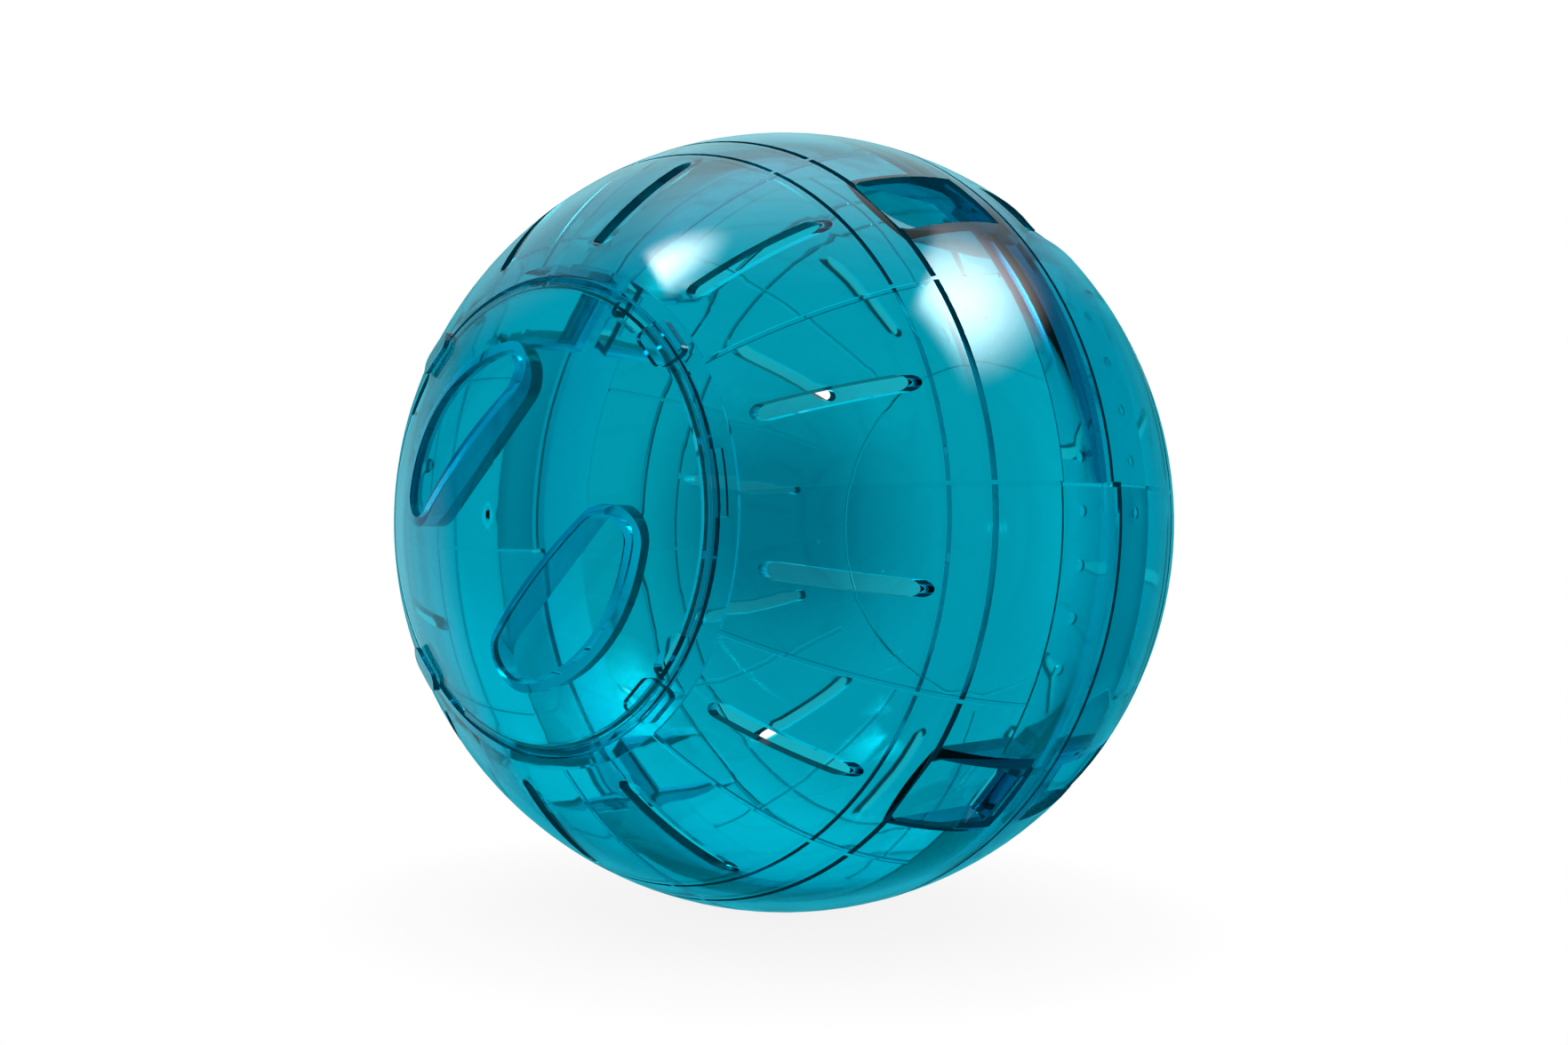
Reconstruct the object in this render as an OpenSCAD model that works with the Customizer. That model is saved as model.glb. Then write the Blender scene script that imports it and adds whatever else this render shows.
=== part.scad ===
// Hamster exercise ball: two half shells that snap together at the equator,
// one with a round door that twists under bayonet clips, the other closed.
// The ball's centre is the origin, +Z is up and the door faces -Y.

/* [Ball] */
// Outside diameter of the ball
ball_d = 180; // [174:1:200]
// Wall thickness of the shells and the door
wall = 2; // [1.6:0.1:2.4]
// Height of the outer decorative line above the equator
belt_h = 33.8; // [28:0.2:36]

/* [Door opening] */
// Radius of the round opening in the front shell
opening_r = 49; // [46:0.5:52]
// Gap all round between the door and its opening
door_gap = 1.2; // [0.8:0.1:1.6]
// Reach of the seat under the door, from the edge of the opening
ledge_w = 2.6; // [2.4:0.1:3.4]
// Thickness of the seat
ledge_t = 1.4; // [1.2:0.1:1.6]
// Width of the thick rim round the opening
collar_w = 2.2; // [1.6:0.1:3]
// Height of the thick rim inside the shell
collar_t = 0.6; // [0.6:0.1:0.9]
// Gap between the door and its seat, and between the door and its clips
seat_gap = 0.3; // [0.2:0.05:0.5]
// Longitude of the shallow window in the rim
window_angle = 81.7; // [75:0.1:86]
// Length of the window along the rim
window_l = 13; // [8:0.5:16]
// Width of the window
window_w = 1.7; // [1:0.1:2]
// Depth of the window
window_depth = 0.5; // [0.3:0.1:0.8]

/* [Closed end] */
// Radius of the fine round line on the closed end
ring_r = 44.8; // [40:0.1:48]
// Width of the fine line
ring_w = 0.5; // [0.4:0.1:0.8]
// Depth of the fine line
ring_depth = 0.2; // [0.15:0.05:0.4]

/* [Bayonet clips] */
// Number of clips round the opening
clip_count = 4; // [2:1:5]
// Longitude of the first clip, clockwise from the top as seen from outside
clip_angle = 46; // [30:1:60]
// Length of a clip along the rim
clip_l = 9.6; // [8:0.1:10.4]
// Reach of a clip over the edge of the door
clip_reach = 2.2; // [1.5:0.1:2.3]
// Height of a clip above the ball's surface
clip_h = 1.4; // [1:0.1:2]
// Corner radius of a clip
clip_corner_r = 1.8; // [1:0.1:2.2]
// Room round a clip in the door's notch
notch_gap = 0.4; // [0.3:0.05:0.6]
// Turn of the door from locked to free
unlock_angle = 12.5; // [12:0.5:15]

/* [Finger grips] */
// Distance from the middle of the door to the straight side of a recess
grip_inner = 17.5; // [14:0.5:19]
// Distance from the middle of the door to the curved side of a recess
grip_outer = 33.3; // [31:0.1:36]
// Radius of the round ends of a recess
grip_end_r = 5; // [4:0.1:6]
// Depth of a recess at its straight side
grip_depth = 7.8; // [6:0.1:9]
// Longitude of the first recess
grip_angle = 136; // [100:1:170]

/* [Vent slots] */
// Number of vent slots in each half
slot_count = 12; // [8:1:14]
// Width of a slot
slot_w = 3.5; // [2.5:0.1:4.5]
// Distance from the opening to the slots
slot_inset = 7; // [5:0.1:9]
// Distance from the slots to the inner decorative line
slot_margin = 2.4; // [1.6:0.1:3.2]
// Longitude of the first slot
slot_angle = 9; // [0:1:20]

/* [Lines and ribs] */
// Distance between the two decorative lines
line_spacing = 4.3; // [3:0.1:5]
// Width of the inner decorative line
line_w = 1; // [0.6:0.1:1.4]
// Depth of the inner decorative line
line_depth = 0.5; // [0.3:0.05:0.7]
// Width of the outer decorative line
belt_line_w = 1.4; // [0.8:0.1:1.6]
// Depth of the outer decorative line
belt_line_depth = 0.7; // [0.4:0.05:0.9]
// Width of a rib inside the shell
rib_w = 0.9; // [0.6:0.1:1.5]
// Height of a rib inside the shell
rib_h = 0.5; // [0.3:0.1:0.8]

/* [Seam] */
// Longitude where the stepped seam changes sides
join_angle = 84; // [80:1:90]
// Half the height of the step in the seam
seam_step = 1.35; // [1:0.05:2]
// Gap between the two halves along the seam
seam_gap = 1.1; // [0.6:0.1:1.4]
// Radial gap between a lip and the other half
lip_gap = 0.3; // [0.2:0.05:0.4]
// Thickness of the lip at the equator
lip_t = 1.8; // [1.4:0.1:2.2]
// Reach of the lip on each side of the equator
lip_h = 15.6; // [12:0.1:18]
// Thickness of the lip at its edge
lip_tip_t = 0.4; // [0.3:0.1:0.8]
// Height of the step where the lip's root ends on the wall
root_step = 0.2; // [0.1:0.05:0.4]
// Room left beside the step in the seam and round each pocket that a lip passes
lip_clear = 0.5; // [0.3:0.1:0.8]
// Number of round ejector marks inside each lip
pin_count = 4; // [2:1:5]
// Angle between the ejector marks
pin_pitch = 7.1; // [6:0.1:8]
// Distance of the ejector marks from the equator
pin_h = 9.5; // [7:0.5:11]
// Diameter of an ejector mark
pin_d = 2.4; // [2:0.1:3]
// Plastic left between an ejector mark and the outside of the lip
pin_floor = 0.5; // [0.4:0.1:0.6]
// Length of the shallow mark beside the step in the seam
step_mark_l = 5.8; // [4:0.1:7]
// Width of that mark
step_mark_w = 5; // [3:0.1:6]
// Depth of that mark
step_mark_depth = 0.4; // [0.3:0.1:0.8]

/* [Snap latches] */
// Width of a latch pocket
pocket_w = 17.2; // [15:0.1:19]
// Depth of a latch pocket at the equator
pocket_depth = 7; // [6.4:0.1:7.6]
// Corner radius of a pocket at its shallow end
pocket_corner_r = 2.5; // [1:0.1:3]
// Width of the bar from the equator to the pocket
bar_w = 5.5; // [5:0.1:6.5]
// Thickness of a pocket's side walls
side_wall = 1.8; // [1.4:0.1:2.2]
// Width of a snap tongue
tongue_w = 11.5; // [9:0.1:12.5]
// Thickness of a snap tongue
tongue_t = 1.8; // [1.4:0.1:2]
// Length of the hook on a tongue
hook_l = 5; // [4:0.1:6]
// Height of the hook
hook_h = 1.3; // [1:0.1:1.5]
// Gap between the hook and the bar it catches
hook_gap = 0.25; // [0.2:0.05:0.4]

/* [Hidden] */
$fn = 96;

shell_teal = [0.02, 0.56, 0.66, 0.6];
door_teal = [0.05, 0.68, 0.78, 0.6];

// Overrun of the cuts
over = 1;

full = 360;
// Latches round the seam, two of them tongues on each shell
latch_count = 4;

ball_r = ball_d / 2;
inner_r = ball_r - wall;
door_r = opening_r - door_gap;
ledge_r = opening_r - ledge_w;
collar_r = opening_r + collar_w;
seat_r = inner_r - collar_t + ledge_t;
rim_inner_r = seat_r + seat_gap;
rim_start = ledge_r - seat_gap;

clip_inner_r = door_r - clip_reach;
clip_outer_r = collar_r;

slot_pitch = full / slot_count;
belt_r = sqrt(ball_r * ball_r - belt_h * belt_h);
inner_line_r = belt_r - line_spacing;
slot_start = opening_r + slot_inset;
slot_end = inner_line_r - slot_margin;

grip_floor = sqrt(ball_r * ball_r - grip_inner * grip_inner) - grip_depth;
grip_x = grip_inner + grip_end_r;
grip_y = sqrt(pow(grip_outer - grip_end_r, 2) - grip_x * grip_x);

lip_r = inner_r - lip_gap;
lip_inner_r = lip_r - lip_t;
lip_tip_r = sqrt(lip_r * lip_r - lip_h * lip_h) - lip_tip_t;
root_end_r = sqrt(inner_r * inner_r - lip_h * lip_h) - root_step;
tip_shift = (lip_tip_r * lip_tip_r + lip_h * lip_h - lip_inner_r * lip_inner_r) / (2 * lip_h);
root_shift = (root_end_r * root_end_r + lip_h * lip_h - lip_inner_r * lip_inner_r) / (2 * lip_h);
long_edge = -seam_step + seam_gap / 2;
short_edge = seam_step + seam_gap / 2;

latch_pitch = full / latch_count;
pocket_floor = ball_r - pocket_depth;
body_w = pocket_w + 2 * side_wall;
tongue_longitudes = [join_angle - latch_pitch / 2, join_angle - 3 * latch_pitch / 2];
catch_longitudes = [join_angle + latch_pitch / 2, join_angle + 3 * latch_pitch / 2];
tongue_top = sqrt(inner_r * inner_r - tongue_w * tongue_w / 4) - lip_gap;
tongue_bottom = tongue_top - tongue_t;
hook_start = bar_w + hook_gap;
hook_top = tongue_top + hook_h;

// Turns a half, drawn with its door towards +Z, to face -Y
module front_frame() {
    rotate([90, 0, 0])
        rotate([0, 0, 90])
            children();
}

// Places the second half: the first one turned half round about the seam's own axis
module rear_frame() {
    front_frame()
        rotate([0, 0, -join_angle])
            rotate([180, 0, 0])
                rotate([0, 0, join_angle])
                    children();
}

// Turns its children to a longitude, clockwise from the top as seen from outside
module at_longitude(angle) {
    rotate([0, 0, -angle])
        children();
}

// A spherical skin between two radii
module skin(outer, inner) {
    difference() {
        sphere(r = outer);
        sphere(r = inner);
    }
}

// A box from its lowest corner to its highest
module box(low, high) {
    translate(low)
        cube(high - low);
}

// A rectangle with round corners, from its lowest corner to its highest
module round_rect(low, high, r) {
    translate([low.x + r, low.y])
        square([high.x - low.x - 2 * r, high.y - low.y]);
    translate([low.x, low.y + r])
        square([high.x - low.x, high.y - low.y - 2 * r]);
    for (x = [low.x + r, high.x - r], y = [low.y + r, high.y - r])
        translate([x, y])
            circle(r = r);
}

// Half plane on the side of the seam where this shell carries the lip
module lip_side(low, high, start) {
    at_longitude(join_angle)
        box([-ball_r - over, start, low], [ball_r + over, ball_r + over, high]);
}

// Plan of a clip, or of the door's notch when it is grown
module clip_plan(grow) {
    round_rect(
        [clip_inner_r - grow, -clip_l / 2 - grow],
        [clip_outer_r + grow, clip_l / 2 + grow],
        clip_corner_r + grow
    );
}

// Clips that bridge the gap and hold the edge of the door
module clips() {
    for (i = [0 : clip_count - 1])
        at_longitude(clip_angle + i * full / clip_count)
            intersection() {
                linear_extrude(height = ball_r)
                    clip_plan(0);
                sphere(r = ball_r + clip_h);
            }
}

// The opening, with the seat left at its foot and the clips left over it
module opening_cut() {
    intersection() {
        sphere(r = ball_r + seat_gap);
        cylinder(r = ledge_r, h = ball_r + over);
    }
    intersection() {
        skin(ball_r + seat_gap, seat_r);
        cylinder(r = opening_r, h = ball_r + over);
    }
}

// One vent slot, cut along the ball's axis
module slot_cut() {
    linear_extrude(height = ball_r) {
        translate([slot_start + slot_w / 2, -slot_w / 2])
            square([slot_end - slot_start - slot_w, slot_w]);
        for (x = [slot_start + slot_w / 2, slot_end - slot_w / 2])
            translate([x, 0])
                circle(d = slot_w);
    }
}

// A V-shaped line round the ball at a plan radius, broken where the ribs pass
module line_cut(line_r, width, depth) {
    half_top = width * (depth + over) / (2 * depth);
    height = sqrt(ball_r * ball_r - line_r * line_r);
    difference() {
        rotate_extrude()
            translate([line_r, height])
                rotate(-asin(line_r / ball_r))
                    polygon([[0, -depth], [half_top, over], [-half_top, over]]);
        for (i = [0 : slot_count - 1])
            at_longitude(slot_angle + (i + 0.5) * slot_pitch)
                box([collar_r, -rib_w / 2, 0], [ball_r + over, rib_w / 2, ball_r]);
    }
}

// A shallow window in the rim, beside the gap round the door
module window_cut() {
    at_longitude(window_angle)
        intersection() {
            skin(ball_r + over, ball_r - window_depth);
            cylinder(r = opening_r + window_w, h = ball_r);
            box([0, -window_l / 2, 0], [ball_r, window_l / 2, ball_r]);
        }
}

// A round mark of an ejector pin on the inside of the lip, down to a radius
module pin_mark(angle, height, bottom_r) {
    at_longitude(angle)
        rotate([0, acos(height / lip_inner_r), 0])
            translate([0, 0, lip_inner_r - over])
                cylinder(d = pin_d, h = bottom_r - lip_inner_r + over);
}

// The marks on the free part of the lip, and one on its root
module pin_marks() {
    for (i = [0 : pin_count - 1])
        pin_mark(join_angle - (i + 0.5) * pin_pitch, -pin_h, lip_r - pin_floor);
    pin_mark(join_angle - 0.5 * pin_pitch, pin_h, inner_r - pin_floor);
}

// A shallow mark on the outside, beside the step in the seam
module step_mark() {
    at_longitude(join_angle)
        intersection() {
            skin(ball_r + over, ball_r - step_mark_depth);
            box([0, -step_mark_l, -over - seam_step], [ball_r, 0, step_mark_w]);
        }
}

// Solid behind a latch pocket, down to the given height above the equator
module pocket_body(start) {
    box([pocket_floor - wall, -body_w / 2, start], [ball_r + over, body_w / 2, belt_h + pocket_depth]);
}

// The pocket itself, with its floor parallel to the ball's axis
module pocket_cut() {
    translate([pocket_floor, 0, 0])
        rotate([90, 0, 90])
            linear_extrude(height = pocket_depth + over)
                difference() {
                    round_rect(
                        [-pocket_w / 2, bar_w - 2 * pocket_corner_r],
                        [pocket_w / 2, belt_h],
                        pocket_corner_r
                    );
                    translate([-pocket_w, bar_w - 3 * pocket_corner_r])
                        square([2 * pocket_w, 3 * pocket_corner_r]);
                }
}

// Tongue with its hook, drawn in the plane through the ball's axis
module tongue() {
    tip = hook_start + hook_l;
    rotate([90, 0, 0])
        linear_extrude(height = tongue_w, center = true)
            polygon([
                [tongue_bottom, bar_w - over],
                [tongue_bottom, -tip],
                [tongue_bottom + tongue_t / 2, -tip],
                [hook_top, -tip + hook_l / 2],
                [hook_top, -hook_start],
                [tongue_top, -hook_start],
                [tongue_top, bar_w - over]
            ]);
}

// Ribs on the inside, between the slots
module ribs() {
    for (i = [0 : slot_count - 1])
        at_longitude(slot_angle + (i + 0.5) * slot_pitch)
            difference() {
                box([collar_r - collar_w / 2, -rib_w / 2, lip_h + lip_clear], [ball_r, rib_w / 2, ball_r]);
                sphere(r = inner_r - rib_h);
            }
}

// Space inside the lip. It thins the lip towards its edge and the lip's root towards the wall,
// each with a sphere whose centre is moved along the axis. It is used turned, so that the
// start lines of the spheres lie on the side that has no lip.
module lip_space() {
    translate([0, 0, -tip_shift])
        sphere(r = norm([lip_inner_r, tip_shift]));
    intersection() {
        translate([0, 0, root_shift])
            sphere(r = norm([lip_inner_r, root_shift]));
        box([-ball_r, -ball_r, -ball_r], [ball_r, ball_r, lip_h + root_step]);
    }
}

// The space inside a half, with everything that stands into it left out
module hollow(has_door) {
    difference() {
        union() {
            difference() {
                sphere(r = inner_r);
                lip_side(-lip_h - over, lip_h, lip_clear - lip_gap);
                ribs();
                if (has_door)
                    difference() {
                        cylinder(r = collar_r, h = ball_r);
                        sphere(r = inner_r - collar_t);
                    }
            }
            at_longitude(join_angle + latch_pitch)
                lip_space();
        }
        for (a = tongue_longitudes)
            at_longitude(a)
                pocket_body(bar_w - wall);
        for (a = catch_longitudes)
            at_longitude(a)
                pocket_body(bar_w);
    }
}

// Notch in the free part of the lip, which lets it pass the other half's pocket
module lip_notch() {
    box(
        [pocket_floor - wall - lip_clear, -body_w / 2 - lip_clear, -lip_h - over],
        [ball_r, body_w / 2 + lip_clear, -bar_w + lip_clear]
    );
}

// One half of the ball, with its pole towards +Z, open for a door or closed
module half_shell(has_door) {
    difference() {
        union() {
            difference() {
                sphere(r = ball_r);
                box([-ball_d, -ball_d, -ball_d], [ball_d, ball_d, long_edge]);
                lip_side(-ball_d, short_edge, -seam_gap / 2);
            }
            intersection() {
                sphere(r = lip_r);
                lip_side(-lip_h, short_edge + over, lip_clear);
            }
            if (has_door)
                clips();
        }
        hollow(has_door);
        if (has_door) {
            opening_cut();
            window_cut();
            step_mark();
        } else {
            line_cut(ring_r, ring_w, ring_depth);
        }
        for (i = [0 : slot_count - 1])
            at_longitude(slot_angle + i * slot_pitch)
                slot_cut();
        for (i = [0 : latch_count - 1])
            at_longitude(join_angle + (i + 0.5) * latch_pitch)
                pocket_cut();
        for (a = tongue_longitudes)
            at_longitude(a)
                lip_notch();
        pin_marks();
        line_cut(inner_line_r, line_w, line_depth);
        line_cut(belt_r, belt_line_w, belt_line_depth);
    }
    for (a = tongue_longitudes)
        at_longitude(a)
            tongue();
}

// Plan of a finger recess, or of the wall round it when it is grown
module grip_plan(grow) {
    for (side = [-1, 1])
        translate([grip_x, side * grip_y])
            circle(r = grip_end_r + grow);
    intersection() {
        circle(r = grip_outer + grow);
        polygon([
            [grip_inner - grow, -grip_y],
            [grip_inner - grow, grip_y],
            [grip_x, grip_y],
            [2 * grip_x, 2 * grip_y],
            [2 * grip_x, -2 * grip_y],
            [grip_x, -grip_y]
        ]);
    }
}

// Both finger recesses, from the given height up
module grips(start, grow) {
    for (i = [0, 1])
        at_longitude(grip_angle + i * full / 2)
            translate([0, 0, start])
                linear_extrude(height = ball_r)
                    grip_plan(grow);
}

// The door, facing +Z in its locked position, with a thinner rim that rests on the seat
module round_door() {
    difference() {
        intersection() {
            sphere(r = ball_r);
            cylinder(r = door_r, h = ball_r);
        }
        difference() {
            union() {
                sphere(r = inner_r);
                difference() {
                    sphere(r = rim_inner_r);
                    cylinder(r = rim_start, h = ball_r);
                }
            }
            grips(grip_floor - wall, wall);
        }
        grips(grip_floor, 0);
        for (i = [0 : clip_count - 1])
            at_longitude(clip_angle - unlock_angle + i * full / clip_count)
                linear_extrude(height = ball_r)
                    clip_plan(notch_gap);
    }
}

module front_shell() {
    color(shell_teal)
        front_frame()
            half_shell(true);
}

module rear_shell() {
    color(shell_teal)
        rear_frame()
            half_shell(false);
}

module door() {
    color(door_teal)
        front_frame()
            round_door();
}

front_shell();
rear_shell();
door();
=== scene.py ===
import math

import bpy
from mathutils import Matrix, Vector

# A hamster ball, dressed and lit as in its photograph. The CAD solids keep their
# shapes: this script gives them their clear plastic, and adds the floor, the
# camera and the light. Lengths are in metres.

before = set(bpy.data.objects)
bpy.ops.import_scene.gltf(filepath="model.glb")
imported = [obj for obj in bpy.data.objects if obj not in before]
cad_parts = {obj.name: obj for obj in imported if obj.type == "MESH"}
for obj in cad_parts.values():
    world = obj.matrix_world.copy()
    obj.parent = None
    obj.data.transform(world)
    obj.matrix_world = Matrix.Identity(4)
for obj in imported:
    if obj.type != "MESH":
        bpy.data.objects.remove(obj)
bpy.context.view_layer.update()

SCENE = bpy.context.scene

BALL_R = 0.09
FLOOR_Z = -BALL_R
FLOOR_SIZE = 30.0

# The camera of the photograph. It looks at the ball's centre from this far and
# this many degrees round from the door's axis, and leans a little.
CAMERA_DISTANCE = 0.427
CAMERA_TURN = math.radians(41.15)
CAMERA_ROLL = math.radians(1.4)
CAMERA_LENS = 41.55
CAMERA_SENSOR = 36.0
CAMERA_NEAR = 0.01

# Directions as that camera sees them. AWAY points from the ball to the camera.
AWAY = Vector((math.sin(CAMERA_TURN), -math.cos(CAMERA_TURN), 0.0))
RIGHT = Vector((math.cos(CAMERA_TURN), math.sin(CAMERA_TURN), 0.0))
UP = Vector((0.0, 0.0, 1.0))


# Node helpers


def new_material(name):
    mat = bpy.data.materials.new(name)
    mat.use_nodes = True
    mat.node_tree.nodes.clear()
    return mat, mat.node_tree


def add(tree, kind, inputs=None, **settings):
    """Makes a node. A socket given as an input is linked, anything else is its value."""
    node = tree.nodes.new(kind)
    for key, value in settings.items():
        setattr(node, key, value)
    for key, value in (inputs or {}).items():
        if isinstance(value, bpy.types.NodeSocket):
            tree.links.new(value, node.inputs[key])
        else:
            node.inputs[key].default_value = value
    return node


def calc(tree, operation, a, b=0.0, clamp=False):
    node = add(tree, "ShaderNodeMath", {0: a, 1: b}, operation=operation, use_clamp=clamp)
    return node.outputs[0]


def product(tree, first, *others):
    for other in others:
        first = calc(tree, "MULTIPLY", first, other)
    return first


def total(tree, first, *others):
    for other in others:
        first = calc(tree, "ADD", first, other)
    return first


def diagonal(tree, a, b):
    """The long side over two short sides at right angles."""
    return calc(tree, "SQRT", total(tree, product(tree, a, a), product(tree, b, b)))


def within(tree, value, middle, half):
    """One where a value is no further than half from middle, else nought."""
    node = add(tree, "ShaderNodeMath", {0: value, 1: middle, 2: half}, operation="COMPARE")
    return node.outputs[0]


def ramp(tree, value, low, high, out_low=0.0, out_high=1.0, kind="SMOOTHSTEP"):
    inputs = {
        "Value": value,
        "From Min": low,
        "From Max": high,
        "To Min": out_low,
        "To Max": out_high,
    }
    return add(tree, "ShaderNodeMapRange", inputs, interpolation_type=kind).outputs["Result"]


def vector_math(tree, operation, a, b=(0.0, 0.0, 0.0)):
    return add(tree, "ShaderNodeVectorMath", {0: a, 1: b}, operation=operation)


def dot(tree, a, b):
    return vector_math(tree, "DOT_PRODUCT", a, b).outputs["Value"]


def length(tree, a):
    return vector_math(tree, "LENGTH", a).outputs["Value"]


def noise(tree, place, scale, detail=2.0, roughness=0.5):
    inputs = {"Vector": place, "Scale": scale, "Detail": detail, "Roughness": roughness}
    return add(tree, "ShaderNodeTexNoise", inputs).outputs["Fac"]


def mix_colors(tree, factor, first, second):
    """The mix node's colour sockets, 6 and 7, come after those of its other types."""
    inputs = {"Factor": factor, 6: first, 7: second}
    return add(tree, "ShaderNodeMix", inputs, data_type="RGBA").outputs[2]


def finish_tree(tree, kind, **shaders):
    """Makes the tree's output and links each shader to the socket of its name."""
    out = add(tree, kind)
    for socket, shader in shaders.items():
        tree.links.new(shader, out.inputs[socket])


# Plastic

WHITE = (1.0, 1.0, 1.0, 1.0)
BLACK = (0.0, 0.0, 0.0, 1.0)

# The seat that shows in the gap round the door, and the fine line on the closed
# end: distances from the door's axis, and the seat's distance from the centre.
GAP_MIDDLE = 0.0484
GAP_HALF = 0.0007
SEAT_R = 0.0888
SEAT_HALF = 0.0004
FINE_LINE_R = 0.0448
FINE_LINE_HALF = 0.0008

# A face is a side once it faces this little outward, from not yet to fully. Sides get
# painted shade, which goes from its deep tint to its tint near the skin between these
# distances from the centre.
SIDE_FACING = (0.86, 0.66)
SKIN = (0.0884, 0.0895)

TEAL = (0.0, 0.939, 0.961, 1.0)
TEAL_DENSITY = 1550.0
FLOW_TINTS = ((0.93, 0.97, 1.0, 1.0), WHITE)
# Painted shade for side faces. The shell's outer sides are darkest, and its sides deep in the
# wall are lighter.
SHELL_PAINTED_SIDE_SHADE = (0.0, 0.07, 0.11, 1.0)
SHELL_PAINTED_DEEP_SIDE_SHADE = (0.06, 0.32, 0.4, 1.0)
DOOR_PAINTED_SIDE_SHADE = (0.15, 0.5, 0.56, 1.0)
# A faint painted glow for side faces, though the plastic is no lamp.
PAINTED_SIDE_GLOW = (0.0, 0.02, 0.035, 1.0)

STYRENE_IOR = 1.54
ROUGHNESS = (0.02, 0.044)
WAVE_STRENGTH = 0.12
WAVE_HEIGHT = 0.0006


def clear_plastic(name, painted_side_shade, painted_deep_side_shade):
    """Clear teal styrene. The wall is tinted by its depth; faces that stand up
    from the ball's skin, such as slot sides and rims, get painted shade and a faint painted
    glow."""
    mat, tree = new_material(name)
    coords = add(tree, "ShaderNodeTexCoord")
    place = coords.outputs["Object"]

    outward = vector_math(tree, "NORMALIZE", place).outputs["Vector"]
    facing = calc(tree, "ABSOLUTE", dot(tree, outward, coords.outputs["Normal"]))
    from_centre = length(tree, place)
    off_axis = vector_math(tree, "MULTIPLY", place, (1.0, 0.0, 1.0)).outputs["Vector"]
    from_axis = length(tree, off_axis)
    y = add(tree, "ShaderNodeSeparateXYZ", {0: place}).outputs["Y"]

    # The gap's floor gets painted shade as a side does, and the fine line on the closed end
    # doesn't.
    gap_floor = product(
        tree,
        within(tree, from_axis, GAP_MIDDLE, GAP_HALF),
        within(tree, from_centre, SEAT_R, SEAT_HALF),
    )
    fine_line = product(
        tree,
        within(tree, from_axis, FINE_LINE_R, FINE_LINE_HALF),
        calc(tree, "GREATER_THAN", y, 0.0),
    )
    # side marks where faces standing up from the skin get painted shade and painted glow.
    side = calc(tree, "SUBTRACT", ramp(tree, facing, *SIDE_FACING), fine_line, clamp=True)
    side = calc(tree, "MAXIMUM", side, gap_floor)

    flow = ramp(tree, noise(tree, place, 9.0, 3.0, 0.55), 0.3, 0.7)
    skin_tint = mix_colors(tree, flow, *FLOW_TINTS)
    # The painted shade on sides is lighter deep in the wall than near the skin.
    painted_side_shade = mix_colors(tree, ramp(tree, from_centre, *SKIN), painted_deep_side_shade, painted_side_shade)
    haze = noise(tree, place, 55.0, 4.0, 0.6)
    wave = noise(tree, place, 28.0, 2.0, 0.45)
    bump = add(
        tree,
        "ShaderNodeBump",
        {"Height": wave, "Strength": WAVE_STRENGTH, "Distance": WAVE_HEIGHT},
    )
    # The base colour carries painted shade on the sides, and the emission a faint painted
    # glow on them.
    surface = add(
        tree,
        "ShaderNodeBsdfPrincipled",
        {
            "Base Color": mix_colors(tree, side, skin_tint, painted_side_shade),
            "Roughness": ramp(tree, haze, 0.35, 0.75, *ROUGHNESS, kind="LINEAR"),
            "IOR": STYRENE_IOR,
            "Transmission Weight": 1.0,
            "Emission Color": mix_colors(tree, side, BLACK, PAINTED_SIDE_GLOW),
            "Emission Strength": 1.0,
            "Normal": bump.outputs["Normal"],
        },
    )
    inside = add(tree, "ShaderNodeVolumeAbsorption", {"Color": TEAL, "Density": TEAL_DENSITY})
    finish_tree(
        tree,
        "ShaderNodeOutputMaterial",
        Surface=surface.outputs["BSDF"],
        Volume=inside.outputs["Volume"],
    )
    return mat


shell_plastic = clear_plastic("clear_teal_shell", SHELL_PAINTED_SIDE_SHADE, SHELL_PAINTED_DEEP_SIDE_SHADE)
door_plastic = clear_plastic("clear_teal_door", DOOR_PAINTED_SIDE_SHADE, DOOR_PAINTED_SIDE_SHADE)

for node_name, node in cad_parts.items():
    slots = node.data.materials
    for index in range(len(slots)):
        slots[index] = door_plastic if "door" in node_name else shell_plastic


# Floor. It is as white as the backdrop, apart from the soft shadow round the spot
# where the ball stands. Rays that come through or off the ball pass it by.

SHADOW_REACH = 0.05
SHADOW_DEPTH = 0.12
SHADOW_SAMPLES = 16
GRAIN = (0.998, 1.0)

floor_mat, tree = new_material("studio_floor")
grain = noise(tree, add(tree, "ShaderNodeTexCoord").outputs["Object"], 6.0)
light = add(
    tree, "ShaderNodeAmbientOcclusion", {"Distance": SHADOW_REACH}, samples=SHADOW_SAMPLES
).outputs["AO"]
shadow = product(tree, calc(tree, "SUBTRACT", 1.0, light), SHADOW_DEPTH)
brightness = product(
    tree, calc(tree, "SUBTRACT", 1.0, shadow), ramp(tree, grain, 0.0, 1.0, *GRAIN)
)
emission = add(tree, "ShaderNodeEmission", {"Color": WHITE, "Strength": brightness})
finish_tree(tree, "ShaderNodeOutputMaterial", Surface=emission.outputs["Emission"])

bpy.ops.mesh.primitive_plane_add(size=FLOOR_SIZE, location=(0.0, 0.0, FLOOR_Z))
floor = bpy.context.object
floor.name = "studio_floor"
floor.data.materials.append(floor_mat)
floor.visible_transmission = False
floor.visible_glossy = False


# Camera

camera_data = bpy.data.cameras.new("camera")
camera_data.lens = CAMERA_LENS
camera_data.sensor_width = CAMERA_SENSOR
camera_data.clip_start = CAMERA_NEAR
camera = bpy.data.objects.new("camera", camera_data)
SCENE.collection.objects.link(camera)
camera.matrix_world = (
    Matrix.Translation(AWAY * CAMERA_DISTANCE)
    @ AWAY.to_track_quat("Z", "Y").to_matrix().to_4x4()
    @ Matrix.Rotation(CAMERA_ROLL, 4, "Z")
)
SCENE.camera = camera


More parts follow.
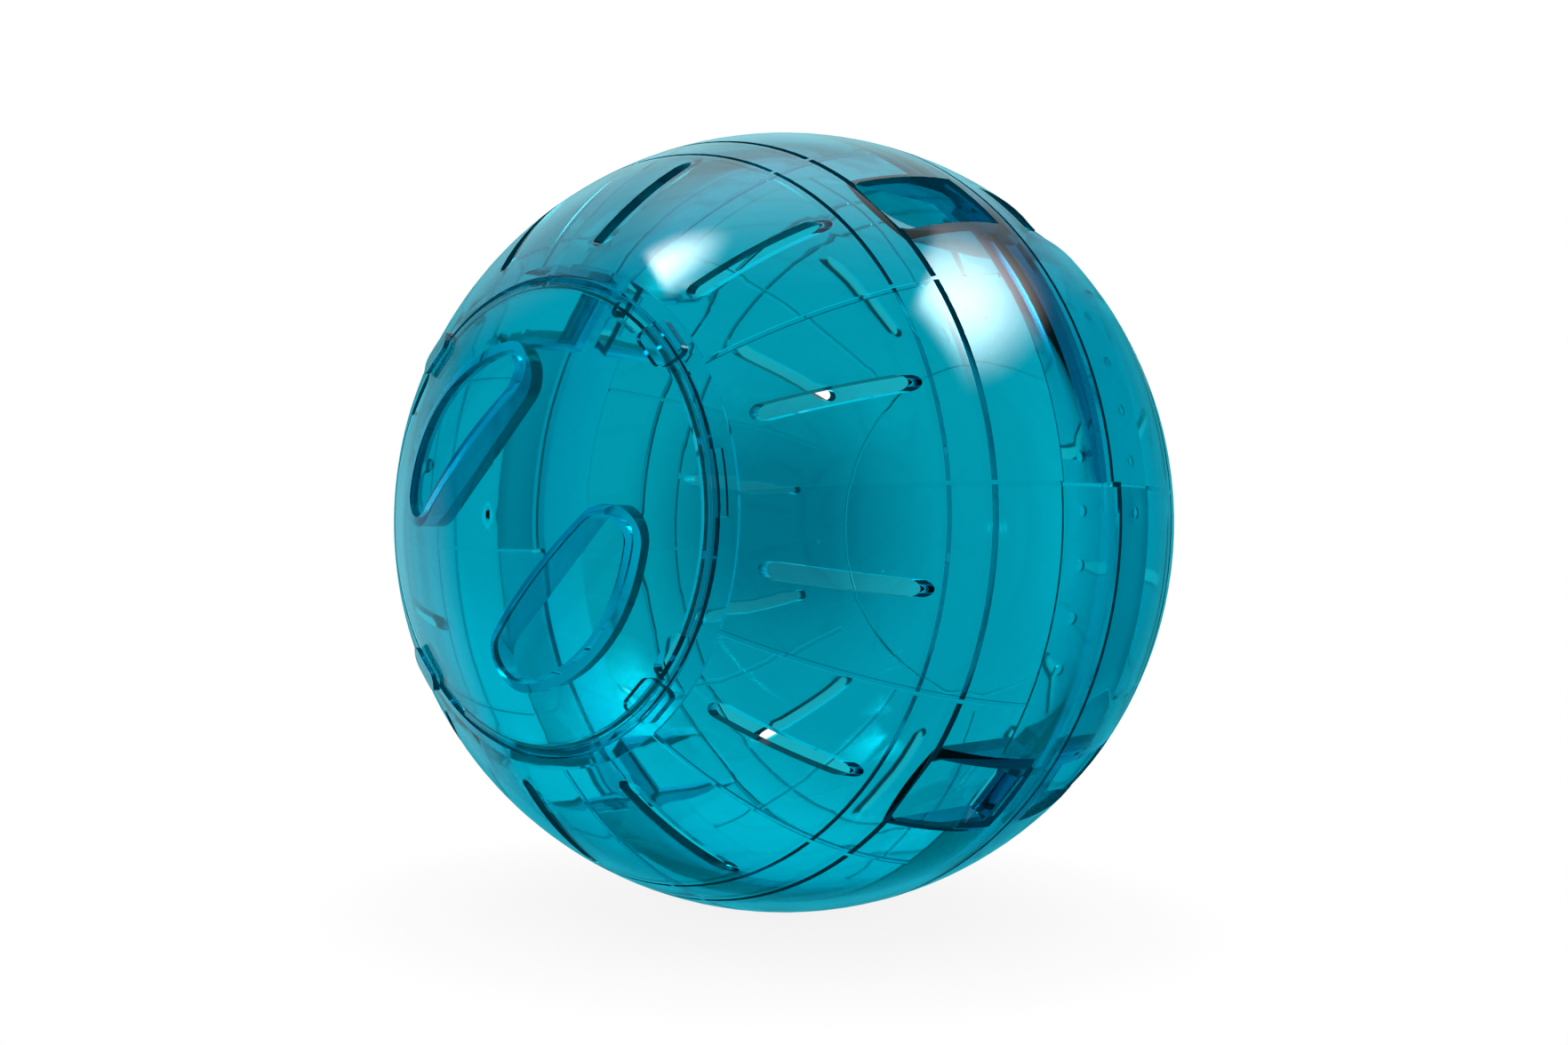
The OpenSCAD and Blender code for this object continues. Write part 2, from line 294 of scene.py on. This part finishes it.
# Light. All of it comes from the world: a white backdrop for what is seen
# directly, a dimmer one for what is seen through the ball, and for the ball's
# gloss a dark studio with a wide soft light overhead, a pale backdrop and screen
# at the rim, and soft lamps.

THROUGH = (0.27, 0.515, 0.585, 1.0)
BLUER = (0.0, 0.0, 0.06, 1.0)
STUDIO = (0.0, 0.06, 0.08, 1.0)
SKY = (0.85, 1.0, 0.98, 1.0)
RIM = (0.03, 0.36, 0.43, 1.0)
LAMP = (1.0, 0.89, 0.86, 1.0)

# How bright the lamps are through the ball, as a share of how its gloss has them.
INNER_LAMPS = 0.75

# Each lamp: where the picture shows it on the ball, its half width and height,
# its lean, its power, and its sharper edges.
LAMPS = (
    ((-0.32, 0.647), (0.31, 0.2), 0.46, 17.0, ((0.08, -0.013, 0.023), (1.35, -0.2, 0.036))),
    ((-0.04, 0.88), (0.9, 0.78), 0.14, 0.65, ((0.31, -0.32, 0.1), (1.5, -0.35, 0.23))),
    ((0.42, 0.538), (0.33, 0.7), -0.21, 17.0, ((0.0, -0.119, 0.028), (0.99, -0.082, 0.09))),
)


def toward(right, up, back):
    """A direction given as the photograph's camera sees it."""
    return (RIGHT * right + UP * up - AWAY * back).normalized()


def mirror_of(x, z):
    """The direction mirrored by the ball where the picture shows it, x to the
    right and z up of the ball's centre, as shares of its outline's radius."""
    start = AWAY * CAMERA_DISTANCE
    limb = BALL_R / math.sqrt(CAMERA_DISTANCE**2 - BALL_R**2)
    ray = (camera.matrix_world.to_3x3() @ Vector((x * limb, z * limb, -1.0))).normalized()
    half = start.dot(ray)
    spot = start - ray * (half + math.sqrt(half * half - start.dot(start) + BALL_R**2))
    spot.normalize()
    return (ray - 2.0 * ray.dot(spot) * spot).normalized()


world = bpy.data.worlds.new("studio")
world.use_nodes = True
SCENE.world = world
tree = world.node_tree
tree.nodes.clear()
direction = add(tree, "ShaderNodeTexCoord").outputs["Generated"]


def along(heading):
    """How far the world's direction goes along a heading."""
    return dot(tree, direction, tuple(heading))


def lamp(picture_place, half_sizes, lean, power, edges):
    """A soft oval lamp, turned by lean and brightest in its middle. Each edge, an
    angle, a place and a softness, cuts one side off."""
    center = mirror_of(*picture_place)
    across = (RIGHT - center * RIGHT.dot(center)).normalized()
    upward = across.cross(center)
    if upward.z < 0.0:
        upward = -upward

    def measure(angle):
        return along(across * math.cos(angle) + upward * math.sin(angle))

    u = calc(tree, "DIVIDE", measure(lean), half_sizes[0])
    v = calc(tree, "DIVIDE", measure(lean + math.pi / 2), half_sizes[1])
    inside = ramp(tree, diagonal(tree, u, v), 1.0, 0.0)
    for angle, place, softness in edges:
        cut = ramp(tree, measure(angle), place - softness, place + softness)
        inside = product(tree, inside, cut)
    front = calc(tree, "GREATER_THAN", along(center), 0.0)
    return product(tree, inside, front, power)


def glow(color, strength):
    node = add(tree, "ShaderNodeBackground", {"Color": color, "Strength": strength})
    return node.outputs["Background"]


def both(first, *others):
    for other in others:
        first = add(tree, "ShaderNodeAddShader", {0: first, 1: other}).outputs["Shader"]
    return first


def either(share, first, second):
    node = add(tree, "ShaderNodeMixShader", {0: share, 1: first, 2: second})
    return node.outputs["Shader"]


ray_kind = add(tree, "ShaderNodeLightPath").outputs
mirrored = product(tree, ray_kind["Is Reflection Ray"], ray_kind["Is Glossy Ray"])
through = ray_kind["Is Transmission Ray"]
lamp_share = total(tree, mirrored, product(tree, through, INNER_LAMPS))
lamps = product(tree, total(tree, *(lamp(*values) for values in LAMPS)), lamp_share)

# What is seen through the ball is darker and bluer straight behind it, and
# brightest below it and to its right.
behind = along(-AWAY)
rightward = along(RIGHT)
lower_left = along(-(RIGHT * 0.45 + UP).normalized())
spread = diagonal(tree, rightward, total(tree, along(UP), 0.003))
shade = total(
    tree,
    ramp(tree, spread, 0.02, 0.112, 0.41, 0.96),
    ramp(tree, spread, 0.11, 0.2, 0.0, 0.08),
    ramp(tree, lower_left, 0.1, 0.2, 0.0, 0.46),
    ramp(tree, rightward, 0.14, 0.19, 0.0, 0.2),
)
ahead = calc(tree, "GREATER_THAN", behind, 0.0)
shade = total(tree, product(tree, shade, ahead), calc(tree, "SUBTRACT", 1.0, ahead))
bluer = calc(tree, "SUBTRACT", 1.0, shade, clamp=True)
seen_through = both(glow(THROUGH, shade), glow(BLUER, bluer))

# The ball's gloss mirrors the light overhead. Its rim mirrors the backdrop, and
# at its left a pale screen.
overhead = ramp(tree, along(toward(-0.1, 0.8, 0.6)), 0.68, 0.95, 0.0, 0.68)
rim = ramp(tree, behind, 0.6, 0.93)
screen = ramp(tree, along(toward(-0.7, -0.1, 0.7)), 0.87, 0.985, 0.0, 0.34)
studio = both(glow(STUDIO, 1.0), glow(SKY, overhead), glow(RIM, rim), glow(SKY, screen))

seen = either(mirrored, either(through, glow(WHITE, 1.0), seen_through), studio)
finish_tree(tree, "ShaderNodeOutputWorld", Surface=both(seen, glow(LAMP, lamps)))

SCENE.view_settings.view_transform = "Standard"
SCENE.view_settings.look = "None"
